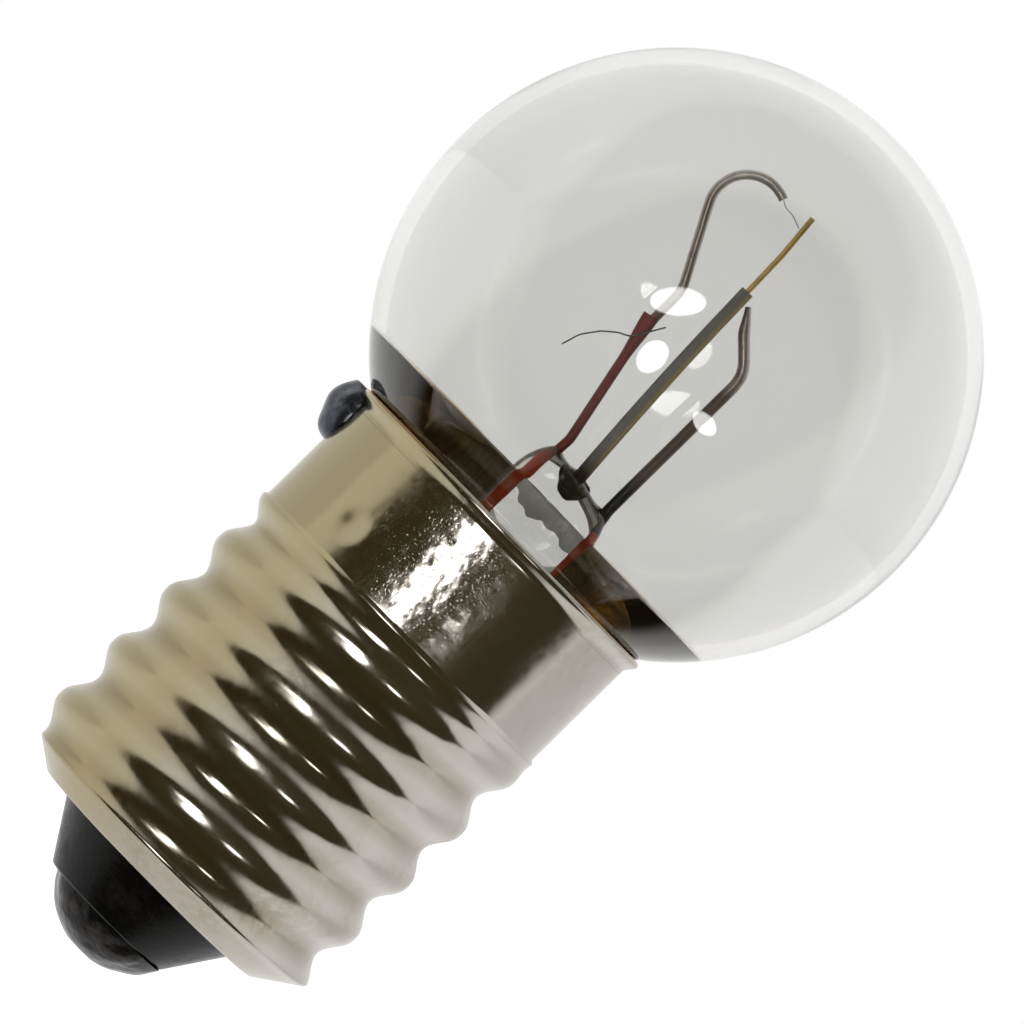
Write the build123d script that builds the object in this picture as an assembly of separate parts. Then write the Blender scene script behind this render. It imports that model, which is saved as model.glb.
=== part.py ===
from build123d import *
import os
from math import ceil, cos, pi, radians, sin, sqrt, tan

# Miniature flasher lamp: a clear glass globe cemented into a rolled screw shell. Inside the globe a
# glass bead carries two lead wires and a bimetal blade, and the filament hangs between a hook on one
# lead and a post on the blade. The other lead ends in a contact wire that rests against the blade.
# Millimetres. The origin is the tip of the centre contact, +Z runs up the lamp's axis to the top of
# the globe, and the bead with its wires stands in the XZ plane.

# Screw shell: rolled sheet with a round thread, a plain collar and a flared lip
thread_crest_diameter = 9.38
thread_root_diameter = 8.54
thread_pitch = 1.814
thread_phase = 0.35
thread_sides = 8
shell_height = 12.12
shell_wall = 0.22
collar_diameter = 9.20
collar_height = 3.60
shoulder_radius = 1.50
lip_flare = 0.23
lip_lean = 38.0
foot_diameter = 7.10
foot_hole_diameter = 5.70
heel_height = 0.80

# Base insulator, contact eyelet and the two solder beads
insulator_height = 1.50
insulator_tip_diameter = 3.70
insulator_flange_diameter = 6.60
insulator_flange_height = 1.50
eyelet_flange_diameter = 2.70
eyelet_flange_height = 0.25
eyelet_diameter = 0.84
eyelet_bore = 0.50
eyelet_length = 1.20
contact_solder_diameter = 3.44
contact_solder_height = 1.00
contact_solder_offset = 0.12
contact_flat_diameter = 0.90
side_solder_height = 1.82
side_solder_reach = 0.78
side_solder_drop = 0.78

# Glass envelope and its cement
globe_diameter = 15.0
globe_wall = 0.40
neck_wall = 0.75
neck_length = 6.60
neck_corner = 1.20
throat_rise = 1.22
throat_drop = 1.40
seal_thickness = 1.20
exhaust_tip_diameter = 1.40
exhaust_tip_length = 1.20
cement_height = 3.00
cement_gap = 0.40
cement_flare = 0.50

# Bead
bead_width = 2.80
bead_depth = 1.50
bead_height = 2.90
bead_rise = 2.05
bead_offset = 0.52
bead_slope = 9.0
bead_round = 0.45

# Bends of the wire mount: across from the lamp's axis, and up from the bead's top
left_lead_bend = (-0.36, 0.55)
left_lead_tip = (-1.11, 4.08)
right_lead_tip = (1.64, -0.65)
hook_bends = ((-1.02, 3.80), (-1.02, 5.05), (-2.29, 7.40), (-1.85, 8.78))
hook_tip = (-0.87, 8.38)
contact_wire_bends = ((1.54, 0.0), (1.53, 4.65), (0.80, 5.36))
blade_root_x = 0.52
blade_bow_x = 0.28
blade_bow_share = 0.43
blade_top_x = 0.12
post_top_x = -0.04

# Wires, blade and filament
lead_diameter = 0.25
left_lead_foot = -0.88
right_lead_foot = 1.85
lead_end_length = 1.35
lead_end_width = 0.42
lead_end_thickness = 0.16
hook_diameter = 0.25
hook_bend = 1.20
least_bend_angle = 12.0
contact_wire_diameter = 0.30
contact_wire_bend = 1.00
contact_tip_width = 0.34
contact_tip_thickness = 0.16
blade_thickness = 0.34
blade_width = 0.80
blade_height = 6.15
blade_root_depth = 0.50
post_diameter = 0.15
post_height = 2.40
filament_diameter = 0.036
filament_drop = 0.42

# Clearances
fit_gap = 0.01
lead_gap = 0.07
blade_slot_gap = 0.03
contact_gap = 0.015

# Heights and radii that follow from the driving dimensions
foot_z = contact_solder_height + insulator_height
floor_z = foot_z + shell_wall
rim_z = foot_z + shell_height
shoulder_z = rim_z - collar_height
crest_radius = thread_crest_diameter / 2
root_radius = thread_root_diameter / 2
bore_radius = root_radius - shell_wall
collar_radius = collar_diameter / 2
collar_bore_radius = collar_radius - shell_wall
lip_radius = collar_radius + lip_flare
lip_angle = radians(lip_lean)
lip_z = rim_z - shell_wall * sin(lip_angle)
lip_foot_z = lip_z - lip_flare / tan(lip_angle)
seat_radius = lip_radius - shell_wall * cos(lip_angle)
side_solder_z = rim_z - side_solder_drop
insulator_top = floor_z + insulator_flange_height
globe_radius = globe_diameter / 2
globe_z = rim_z + sqrt(globe_radius**2 - (seat_radius - fit_gap) ** 2)
neck_radius = bore_radius - lead_diameter - 2 * lead_gap
neck_bore_radius = neck_radius - neck_wall
seal_z = rim_z - neck_length
bead_top = rim_z + bead_rise


def turned(*lines):
    """Solid of revolution about the lamp's axis, from a closed outline of (radius, height)."""
    return revolve(Plane.XZ * make_face(lines), axis=Axis.Z)


def turned_polygon(*corners):
    return turned(Polyline(*corners, close=True))


def drum(radius, low, high):
    return Pos(0, 0, low) * Cylinder(radius, high - low, align=(Align.CENTER, Align.CENTER, Align.MIN))


def on_mount(x, rise, depth=0.0):
    """A point of the wire mount, by its height above the bead's top."""
    return Vector(x, depth, bead_top + rise)


def largest_bends(points, limit):
    """One bend radius for each inner point: the limit, less where its runs are short, none at a kink."""
    radii = []
    for before, corner, after in zip(points, points[1:], points[2:]):
        run_in, run_out = corner - before, after - corner
        angle = run_in.get_angle(run_out)
        room = 0.45 * min(run_in.length, run_out.length)
        radii.append(min(limit, room / tan(radians(angle) / 2)) if angle > least_bend_angle else 0)
    return radii


def wire(points, diameter, bend=0):
    """Round wire of straight runs, joined by tangent arcs or, with no bend radius, by sharp corners."""
    path = FilletPolyline(*points, radius=largest_bends(points, bend))
    section = Plane(path @ 0, z_dir=path % 0) * Circle(diameter / 2)
    return sweep(section, path=path, transition=Transition.RIGHT)


def beaten_end(start, end, diameter, depth, height):
    """Wire end beaten flat, from round to an oval: depth is along Y, height is across the run."""
    run = end - start
    first = Plane(start, x_dir=(0, 1, 0), z_dir=run)
    last = Plane(end, x_dir=(0, 1, 0), z_dir=run)
    return loft([first * Circle(diameter / 2), last * Ellipse(depth / 2, height / 2)])


# Screw shell
def thread_outline(low_crest, turns):
    """Round thread in section: a wave with flats on its crests and roots and bevels beside them."""
    middle = (crest_radius + root_radius) / 2
    half_depth = (crest_radius - root_radius) / 2 / cos(pi / thread_sides)
    waves = [(side + 0.5) / thread_sides for side in range(turns * thread_sides)]
    return [(middle + half_depth * cos(2 * pi * wave), low_crest + wave * thread_pitch) for wave in waves]


def threaded_rod(low, high):
    """Right-hand threaded rod, made of two half turns that meet in the XZ plane."""
    turns = ceil((high - low) / thread_pitch) + 3
    core_radius = bore_radius / 2
    around = drum(crest_radius + shell_wall, low, high)
    rod = drum(core_radius + shell_wall, low, high)
    for half_turn in range(2):
        outline = thread_outline(low + (thread_phase - 2 + half_turn / 2) * thread_pitch, turns)
        core = [(core_radius, outline[-1][1]), (core_radius, outline[0][1])]
        section = Plane.XZ * make_face(Polyline(*outline, *core, close=True))
        half_round = Rot(0, 0, 180 * half_turn)
        path = half_round * Helix(thread_pitch, thread_pitch / 2, crest_radius)
        ridge = sweep(half_round * section, path=path, is_frenet=True)
        rod += ridge & around
    return rod


def make_screw_shell():
    foot_radius = foot_diameter / 2
    heel_slope = heel_height / (crest_radius - foot_radius)
    clear_radius = crest_radius + shell_wall
    within_heel = turned_polygon(
        (0, foot_z),
        (foot_radius, foot_z),
        (clear_radius, foot_z + heel_slope * (clear_radius - foot_radius)),
        (clear_radius, rim_z),
        (0, rim_z),
    )
    shell = threaded_rod(foot_z, shoulder_z) & within_heel
    shell += make_collar_outside()

    foot_bore = foot_radius - shell_wall / 2
    shell -= turned_polygon(
        (0, floor_z),
        (foot_bore, floor_z),
        (bore_radius, floor_z + heel_slope * (bore_radius - foot_bore)),
        (bore_radius, shoulder_z - 3 * shell_wall),
        (collar_bore_radius, shoulder_z),
        (collar_bore_radius, rim_z - (seat_radius - collar_bore_radius) / tan(lip_angle)),
        (seat_radius, rim_z),
        (0, rim_z),
    )
    shell -= drum(foot_hole_diameter / 2, foot_z, floor_z)
    lead_hole = Cylinder(lead_diameter / 2 + fit_gap, 4 * shell_wall)
    return shell - Pos(-collar_radius, 0, side_solder_z) * Rot(0, 90, 0) * lead_hole


def make_collar_outside():
    """Collar and lip as a full plug, with the round shoulder that runs down into the thread."""
    drop = collar_radius - bore_radius
    low_z = shoulder_z - sqrt(shoulder_radius**2 - (shoulder_radius - drop) ** 2)
    shoulder = TangentArc((collar_radius, shoulder_z), (bore_radius, low_z), tangent=(0, -1))
    return turned(
        shoulder,
        Polyline(
            (bore_radius, low_z),
            (0, low_z),
            (0, rim_z),
            (seat_radius, rim_z),
            (lip_radius, lip_z),
            (collar_radius, lip_foot_z),
            (collar_radius, shoulder_z),
        ),
    )


# Base insulator, eyelet and solder
def make_base_insulator():
    bore = eyelet_diameter / 2 + fit_gap
    neck = foot_hole_diameter / 2 - fit_gap
    flange = insulator_flange_diameter / 2
    return turned_polygon(
        (bore, contact_solder_height),
        (insulator_tip_diameter / 2, contact_solder_height),
        (neck, foot_z),
        (neck, floor_z),
        (flange, floor_z),
        (flange, insulator_top),
        (bore, insulator_top),
    )


def make_contact_eyelet():
    bore, barrel, flange = eyelet_bore / 2, eyelet_diameter / 2, eyelet_flange_diameter / 2
    under = contact_solder_height - eyelet_flange_height
    return turned_polygon(
        (bore, under),
        (flange, under),
        (flange, contact_solder_height),
        (barrel, contact_solder_height),
        (barrel, contact_solder_height + eyelet_length),
        (bore, contact_solder_height + eyelet_length),
    )


def make_contact_solder(eyelet, lead):
    """Solder dome with a small worn flat at its tip, a little off the axis."""
    base, flat = contact_solder_diameter / 2, contact_flat_diameter / 2
    slope = (contact_solder_height**2 + base**2 - flat**2) / (2 * contact_solder_height)
    dome_radius = sqrt(slope**2 + flat**2)
    half_z = contact_solder_height / 2
    half_way = sqrt(dome_radius**2 - (slope - half_z) ** 2)
    dome = turned(
        ThreePointArc((flat, 0), (half_way, half_z), (base, contact_solder_height)),
        Polyline((base, contact_solder_height), (0, contact_solder_height), (0, 0), (flat, 0)),
    )
    eyelet_hole = drum(eyelet_bore / 2, contact_solder_height - eyelet_flange_height, foot_z)
    return Pos(contact_solder_offset, 0, 0) * dome - eyelet - eyelet_hole - lead


def make_side_solder(lead):
    """Blob of solder over the lead's end, just under the lip."""
    half_height = side_solder_height / 2
    blob = Pos(half_height - side_solder_reach - collar_radius, 0, side_solder_z) * Sphere(half_height)
    inside_collar = turned_polygon(
        (0, shoulder_z),
        (collar_radius, shoulder_z),
        (collar_radius, lip_foot_z),
        (lip_radius, lip_z),
        (lip_radius, rim_z + half_height),
        (0, rim_z + half_height),
    )
    return blob - inside_collar - lead


# Glass envelope and the cement round its neck
def make_envelope_outside():
    """Globe, neck and exhaust tip as if the glass were solid."""
    neck_top = globe_z - sqrt(globe_radius**2 - neck_radius**2)
    outside = turned(
        ThreePointArc((0, globe_z + globe_radius), (globe_radius, globe_z), (neck_radius, neck_top)),
        Polyline(
            (neck_radius, neck_top),
            (neck_radius, seal_z + neck_corner),
            (neck_radius - neck_corner, seal_z),
            (0, seal_z),
            (0, globe_z + globe_radius),
        ),
    )
    tip = Cone(
        exhaust_tip_diameter / 4,
        exhaust_tip_diameter / 2,
        exhaust_tip_length,
        align=(Align.CENTER, Align.CENTER, Align.MAX),
    )
    return outside + Pos((left_lead_foot + right_lead_foot) / 2, 0, seal_z) * tip


def make_envelope_inside():
    """The space inside the glass: the wall thickens at the throat, from the globe to the neck."""
    inner_radius = globe_radius - globe_wall
    throat_z = rim_z + throat_rise
    throat_radius = sqrt(inner_radius**2 - (globe_z - throat_z) ** 2)
    bottom_z = seal_z + seal_thickness
    bottom_corner = neck_corner / 2
    return turned(
        ThreePointArc((0, globe_z + inner_radius), (inner_radius, globe_z), (throat_radius, throat_z)),
        Polyline(
            (throat_radius, throat_z),
            (neck_bore_radius, throat_z - throat_drop),
            (neck_bore_radius, bottom_z + bottom_corner),
            (neck_bore_radius - bottom_corner, bottom_z),
            (0, bottom_z),
            (0, globe_z + inner_radius),
        ),
    )


def make_basing_cement(lead):
    """Ring round the neck, flared at its top to clear the glass where the neck meets the globe."""
    top_z = rim_z - cement_gap
    bottom_z = top_z - cement_height
    inner = neck_radius + fit_gap
    ring = turned_polygon(
        (inner, bottom_z),
        (collar_bore_radius, bottom_z),
        (collar_bore_radius, top_z),
        (inner + cement_flare, top_z),
        (inner, top_z - 2 * cement_flare),
    )
    return ring - lead


# Wires, blade and filament
left_lead_knee = on_mount(*left_lead_bend)
left_lead_end = on_mount(*left_lead_tip)
left_lead_run = (left_lead_end - left_lead_knee).normalized()
left_lead_flat = left_lead_end - left_lead_run * lead_end_length
right_lead_end = on_mount(*right_lead_tip)
under_seal = seal_z - 4 * lead_diameter
hook_depth = (lead_end_thickness + hook_diameter) / 2 + 2 * fit_gap
hook_end = on_mount(*hook_tip, hook_depth)


def make_left_lead():
    """From its beaten end down through bead and seal, up beside the neck and out to the side solder."""
    riser_x = -(neck_radius + bore_radius) / 2
    route = [
        left_lead_flat,
        left_lead_knee,
        Vector(left_lead_foot, 0, under_seal),
        Vector(riser_x, 0, under_seal + lead_diameter),
        Vector(riser_x, 0, side_solder_z),
        Vector(-collar_radius - side_solder_reach / 2, 0, side_solder_z),
    ]
    beaten = beaten_end(left_lead_flat, left_lead_end, lead_diameter, lead_end_thickness, lead_end_width)
    return wire(route, lead_diameter) + beaten


def make_right_lead():
    """From the bead's top down through the seal and along the axis to the centre contact."""
    route = [
        right_lead_end,
        Vector(right_lead_foot, 0, under_seal),
        Vector(0, 0, insulator_top + 2 * lead_diameter),
        Vector(0, 0, contact_solder_height / 2),
    ]
    return wire(route, lead_diameter)


def make_hook_support():
    """Hook of wire welded behind the left lead's beaten end."""
    route = [on_mount(*bend, hook_depth) for bend in hook_bends]
    return wire([*route, hook_end], hook_diameter, hook_bend)


def make_blade_path():
    """Centre line of the blade, bowed a little towards the hook."""
    return ThreePointArc(
        on_mount(blade_root_x, -blade_root_depth),
        on_mount(blade_bow_x, blade_height * blade_bow_share),
        on_mount(blade_top_x, blade_height),
    )


def make_blade(thickness, width):
    path = make_blade_path()
    section = Plane(path @ 0, x_dir=(0, 1, 0), z_dir=path % 0) * Rectangle(width, thickness)
    return sweep(section, path=path)


def make_contact_wire():
    """Bent wire whose beaten tip rests against the blade, near its top."""
    route = [on_mount(*bend) for bend in contact_wire_bends]
    neck = route[-1]
    run = (neck - route[-2]).normalized()
    blade_face = (make_blade_path() @ 0.95).X + blade_thickness / 2
    tip_x = blade_face + contact_gap + contact_tip_thickness / 2 * run.Z
    tip = neck + run * ((tip_x - neck.X) / run.X)
    foot = right_lead_end + Vector(0, 0, fit_gap)
    beaten = beaten_end(neck, tip, contact_wire_diameter, contact_tip_width, contact_tip_thickness)
    return wire([foot, *route], contact_wire_diameter, contact_wire_bend) + beaten


post_root = make_blade_path() @ 1
post_top = Vector(post_top_x, 0, post_root.Z + post_height)


def make_filament_post():
    half_way = (post_root + post_top) / 2 + Vector(post_diameter / 4, 0, 0)
    return wire([post_root, half_way, post_top], post_diameter)


def make_filament():
    """Fine wire from the hook's end to the side of the post."""
    post_side = post_top - Vector(post_diameter / 2 + 4 * fit_gap, 0, filament_drop)
    span = post_side - hook_end
    route = [
        hook_end + span * 0.03,
        hook_end + span * 0.20 - Vector(0, 0, filament_diameter * 2),
        hook_end + span * 0.58 + Vector(0, 0, filament_diameter),
        post_side,
    ]
    return wire(route, filament_diameter)


def make_bead(wires):
    """Glass bead melted round the wires, with a sloping top and rounded edges."""
    bead = Pos(bead_offset, 0, bead_top - bead_height) * extrude(
        SlotOverall(bead_width, bead_depth), bead_height + bead_width
    )
    slope = radians(bead_slope)
    top = Plane((bead_offset, 0, bead_top), z_dir=(sin(slope), 0, cos(slope)))
    bead = split(bead, bisect_by=top, keep=Keep.BOTTOM)
    ends = bead.faces().sort_by(Axis.Z)
    bead = chamfer(ends[0].edges(), bead_round)
    bead = fillet(bead.faces().sort_by(Axis.Z)[-1].edges(), bead_round)
    slot = make_blade(blade_thickness + 2 * blade_slot_gap, blade_width + 2 * blade_slot_gap)
    return bead - slot - wires


left_lead = make_left_lead()
right_lead = make_right_lead()
contact_wire = make_contact_wire()
contact_eyelet = make_contact_eyelet()

nodes = {
    "glass_envelope": make_envelope_outside() - make_envelope_inside() - left_lead - right_lead,
    "screw_shell": make_screw_shell(),
    "basing_cement": make_basing_cement(left_lead),
    "side_solder": make_side_solder(left_lead),
    "base_insulator": make_base_insulator(),
    "contact_eyelet": contact_eyelet,
    "contact_solder": make_contact_solder(contact_eyelet, right_lead),
    "bead": make_bead([left_lead, right_lead, contact_wire]),
    "left_lead": left_lead,
    "right_lead": right_lead,
    "hook_support": make_hook_support(),
    "contact_wire": contact_wire,
    "bimetal_blade": make_blade(blade_thickness, blade_width),
    "filament_post": make_filament_post(),
    "filament": make_filament(),
}

os.makedirs("parts", exist_ok=True)
for name, solid in nodes.items():
    export_step(solid, f"parts/{name}.step")
    print(name, round(solid.volume, 3), "mm3")
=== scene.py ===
# %% [markdown]
# # A miniature flasher lamp
# A clear glass globe sits in a small screw cap. Behind the glass stands a bimetal blade: it bends away
# from its contact wire as it warms, which breaks the current, and comes back as it cools.
# The CAD model gives every piece its place and size. This lesson gives them their looks: smooth glass,
# rolled and stained plating, bent wires, and the light of a white studio.

# %% Load the CAD frame
from math import acos, asin, atan2, ceil, cos, degrees, exp, hypot, pi, radians, sin, sqrt, tan

import bmesh
import bpy
from mathutils import Matrix, Vector, noise


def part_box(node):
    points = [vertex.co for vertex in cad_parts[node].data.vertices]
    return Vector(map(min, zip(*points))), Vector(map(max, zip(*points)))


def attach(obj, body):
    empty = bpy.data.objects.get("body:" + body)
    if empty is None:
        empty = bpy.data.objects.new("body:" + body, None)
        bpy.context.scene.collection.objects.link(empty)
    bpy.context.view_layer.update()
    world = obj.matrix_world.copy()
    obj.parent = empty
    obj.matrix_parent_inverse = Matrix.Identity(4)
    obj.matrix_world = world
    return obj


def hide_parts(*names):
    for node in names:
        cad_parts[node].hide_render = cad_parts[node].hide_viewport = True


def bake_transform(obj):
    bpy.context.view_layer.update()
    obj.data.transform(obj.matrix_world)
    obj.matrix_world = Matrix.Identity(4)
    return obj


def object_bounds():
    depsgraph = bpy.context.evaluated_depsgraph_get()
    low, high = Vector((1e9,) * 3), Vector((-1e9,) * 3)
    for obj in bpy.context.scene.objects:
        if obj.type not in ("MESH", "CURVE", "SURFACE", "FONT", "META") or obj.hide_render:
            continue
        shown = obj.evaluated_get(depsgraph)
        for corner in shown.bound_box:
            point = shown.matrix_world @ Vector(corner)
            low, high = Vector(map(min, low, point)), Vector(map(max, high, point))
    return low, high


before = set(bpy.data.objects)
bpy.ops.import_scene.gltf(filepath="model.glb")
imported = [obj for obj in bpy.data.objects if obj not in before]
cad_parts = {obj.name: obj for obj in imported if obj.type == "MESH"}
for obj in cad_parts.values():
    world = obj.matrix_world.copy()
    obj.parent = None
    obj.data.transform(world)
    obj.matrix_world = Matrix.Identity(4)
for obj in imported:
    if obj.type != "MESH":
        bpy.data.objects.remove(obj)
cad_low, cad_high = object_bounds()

mm = 0.001
print("CAD box in mm:", [round(v / mm, 2) for v in (*cad_low, *cad_high)])


# %% [markdown]
# ## The camera
# The photograph looks at the lamp square from its side, from far away with a long lens, and the lamp's
# axis slopes up to the right across the picture. Turning the lamp itself would upset every other view,
# so the camera is rolled instead: its "right" and "up" are built from the lamp's own X and Z.

# %% Camera
def add_object(name, data):
    made = bpy.data.objects.new(name, data)
    bpy.context.scene.collection.objects.link(made)
    return made


axis_slope = radians(44.5)
view_distance = 250 * mm
picture_width = 24.97 * mm
aim = Vector((-0.08, 0, 14.97)) * mm

right = Vector((sin(axis_slope), 0, cos(axis_slope)))
up = Vector((-cos(axis_slope), 0, sin(axis_slope)))
back = right.cross(up)
camera_data = bpy.data.cameras.new("camera")
camera_data.sensor_width = 36
camera_data.lens = camera_data.sensor_width * view_distance / picture_width
camera_data.clip_start = 10 * mm
camera = add_object("camera", camera_data)
camera_turn = Matrix((right, up, back)).transposed().to_4x4()
camera.matrix_world = Matrix.Translation(aim + back * view_distance) @ camera_turn
bpy.context.scene.camera = camera
bpy.context.scene.view_settings.view_transform = "Standard"
print("lens in mm:", round(camera_data.lens, 1))

# %% [markdown]
# ## Helpers for node trees
# Every material and every Geometry Nodes tree below is written in code. `node` adds one node and fills
# its inputs by name or number, either with a plain value or with another node's output. `new_tree`
# starts a group and declares its named sockets, and `new_material` starts a material. The others are
# short names for what is used often.

# %% Node helpers
FLOAT, GEOMETRY, MATERIAL = "NodeSocketFloat", "NodeSocketGeometry", "NodeSocketMaterial"


def link(output, socket):
    output.id_data.links.new(output, socket)


def feed(value, socket):
    """Fill a socket with a plain value or with another node's output."""
    if isinstance(value, bpy.types.NodeSocket):
        link(value, socket)
    else:
        socket.default_value = value


def node(tree, kind, inputs=None, **settings):
    made = tree.nodes.new(kind)
    for name, value in settings.items():
        setattr(made, name, value)
    for key, value in (inputs or {}).items():
        feed(value, made.inputs[key])
    return made


def first(tree, kind, inputs=None, **settings):
    """First output of a new node."""
    return node(tree, kind, inputs, **settings).outputs[0]


def new_tree(name, kind, inputs, outputs):
    tree = bpy.data.node_groups.new(name, kind)
    for direction, sockets in (("INPUT", inputs), ("OUTPUT", outputs)):
        for label, socket_kind in sockets.items():
            tree.interface.new_socket(label, in_out=direction, socket_type=socket_kind)
    return tree, tree.nodes.new("NodeGroupInput").outputs, tree.nodes.new("NodeGroupOutput").inputs


def new_material(name, **sockets):
    """New material with its shader's own sockets set; returns the material, its tree and the shader."""
    material = bpy.data.materials.new(name)
    material.use_nodes = True
    shader = material.node_tree.nodes["Principled BSDF"]
    for socket, value in sockets.items():
        shader.inputs[socket.replace("_", " ")].default_value = value
    return material, material.node_tree, shader


# %% Values and colours
def tree_of(*values):
    """Node tree of the first node's output among some values."""
    return next(value.id_data for value in values if isinstance(value, bpy.types.NodeSocket))


def math(operation, *values):
    return first(tree_of(*values), "ShaderNodeMath", dict(enumerate(values)), operation=operation)


def times(*values):
    return math("MULTIPLY", *values)


def minus(*values):
    return math("SUBTRACT", *values)


def scaled(*values):
    """The first value times the second, plus the third."""
    return math("MULTIPLY_ADD", *values)


def vector_math(operation, *values, output="Vector"):
    made = node(tree_of(*values), "ShaderNodeVectorMath", dict(enumerate(values)), operation=operation)
    return made.outputs[output]


def split(vector):
    return node(tree_of(vector), "ShaderNodeSeparateXYZ", {0: vector}).outputs


def between(value, low, high):
    """Smooth step of a value from 0 at low to 1 at high."""
    span = {0: value, 1: low, 2: high}
    return first(tree_of(value), "ShaderNodeMapRange", span, interpolation_type="SMOOTHSTEP", clamp=True)


def falling(value, low, high):
    """Smooth step of a value from 1 at low to 0 at high."""
    return minus(1.0, between(value, low, high))


def mix(factor, start, end):
    """Colour between two others; each is a plain colour or another node's output."""
    made = node(tree_of(factor), "ShaderNodeMix", data_type="RGBA")
    sockets = {socket.identifier: socket for socket in made.inputs}
    feed(factor, sockets["Factor_Float"])
    for key, colour in (("A_Color", start), ("B_Color", end)):
        feed((*colour, 1) if isinstance(colour, tuple) else colour, sockets[key])
    return next(socket for socket in made.outputs if socket.identifier == "Result_Color")


print("node helpers ready")


# %% [markdown]
# ## Light, world and floor
# The lamp is photographed on white paper in a dim room. Polished metal and glass are seen by what they
# reflect, so the room matters more than the lamps: brown and dark on the camera's side, pale beyond it.
# The world gives plain white to whatever is seen directly or through the glass, and the room to
# reflections only. The dark side is an oval on two angles, across and over the lamp, and reaches further
# for the glass than for the metal. A colour ramp on the distance from its middle makes the walls. Light
# that only passes along inside the glass wall sees a grey, or the globe's edge would be a black line.

# %% Studio world
def light_path(tree):
    """What kind of ray asks, and whether it was reflected on its way."""
    ray = node(tree, "ShaderNodeLightPath").outputs
    return ray, math("GREATER_THAN", ray["Glossy Depth"], 0.5)


world = bpy.data.worlds.new("studio")
bpy.context.scene.world = world
world.use_nodes = True
studio = world.node_tree
sideways, onwards, upwards = split(node(studio, "ShaderNodeTexCoord").outputs["Generated"])
across = math("ARCSINE", sideways)
over = math("ARCTAN2", upwards, times(onwards, -1.0))
ray, reflected = light_path(studio)


def by_surface(on_metal, on_glass):
    """Angle for the metal's soft reflections or for the glass's sharp ones, both given in degrees."""
    return scaled(ray["Is Singular Ray"], radians(on_glass - on_metal), radians(on_metal))


def from_middle(angle, metal_sees, glass_sees):
    """Angle as a share of the dark side's half width, squared; its limits are in degrees."""
    middle = by_surface(sum(metal_sees) / 2, sum(glass_sees) / 2)
    half = by_surface((metal_sees[1] - metal_sees[0]) / 2, (glass_sees[1] - glass_sees[0]) / 2)
    share = math("DIVIDE", minus(angle, middle), half)
    return times(share, share)


dark_sides = from_middle(across, (-64, 84), (-64, 84))
dark_ends = from_middle(over, (-88, 72), (-141, 78))
from_dark = math("SQRT", math("ADD", dark_sides, dark_ends))

# %% Room walls
furthest = 2.5
room = node(studio, "ShaderNodeValToRGB", {0: math("DIVIDE", from_dark, furthest)})
room_walls = (
    (0, (0.090, 0.075, 0.040)),
    (0.5, (0.065, 0.052, 0.026)),
    (0.94, (0.055, 0.044, 0.020)),
    (1.05, (0.84, 0.82, 0.78)),
    (1.14, (1.00, 0.99, 0.97)),
    (1.6, (1.08, 1.08, 1.08)),
    (2.3, (0.84, 0.83, 0.82)),
)
ramp = room.color_ramp
ramp.interpolation = "EASE"
while len(ramp.elements) < len(room_walls):
    ramp.elements.new(0.5)
for stop, (distance, colour) in zip(ramp.elements, room_walls):
    stop.position = distance / furthest
    stop.color = (*colour, 1)

glass_surfaces, wall_grey, white = 2.0, (0.62, 0.61, 0.58), (1, 1, 1)
level_from, level_to, ambient = radians(42), radians(62), 0.55
through_wall = times(math("COMPARE", ray["Transmission Depth"], glass_surfaces), reflected)
level = falling(math("ABSOLUTE", over), level_from, level_to)
walls = mix(times(through_wall, level), room.outputs["Color"], wall_grey)
dimming = times(ray["Is Diffuse Ray"], 1 - ambient)
background = studio.nodes["Background"].inputs
link(mix(reflected, white, walls), background["Color"])
link(minus(1.0, dimming), background["Strength"])
print("room walls:", len(ramp.elements))


# %% Soft lamps
def facing_in(place):
    """Turn of a flat light at a place in millimetres so that it faces the lamp."""
    return (Vector(place) * mm - aim).to_track_quat("Z", "Y").to_matrix()


def soft_lamp(name, place, width, power):
    """Round area lamp; it lights matt surfaces and stays out of the reflections."""
    data = bpy.data.lights.new(name, "AREA")
    data.shape = "DISK"
    data.size = width * mm
    data.energy = power
    made = add_object(name, data)
    made.location = Vector(place) * mm
    made.rotation_euler = facing_in(place).to_euler()
    made.visible_glossy = made.visible_transmission = False


soft_lamp("key_lamp", (-170, -190, 170), 140, 0.20)
soft_lamp("fill_lamp", (190, -150, 60), 140, 0.08)


# %% [markdown]
# ## Bright panels
# The white highlights on glass and metal are reflections of lit panels on the camera's side: a window, a
# strip above it and a small light to the right. Each is a flat oval that glows only in a reflection, so
# that none is in the way when the lamp is seen from behind. A larger one lights the metal alone: it leaves
# out the perfectly sharp reflections, which are those of the glass.

# %% Bright panels
def stage_material(name):
    """New material without a shader, and its tree."""
    material, tree, shader = new_material(name)
    tree.nodes.remove(shader)
    return material, tree


def emission(tree, strength):
    return first(tree, "ShaderNodeEmission", {"Strength": strength})


def either(factor, start, end):
    """Shader between two others."""
    return first(tree_of(factor), "ShaderNodeMixShader", {0: factor, 1: start, 2: end})


def stage_mesh(name, points, material):
    """Flat face through points in millimetres that is only part of the studio."""
    mesh = bpy.data.meshes.new(name)
    mesh.from_pydata([point * mm for point in points], [], [range(len(points))])
    mesh.materials.append(material)
    made = add_object(name, mesh)
    return made


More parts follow.
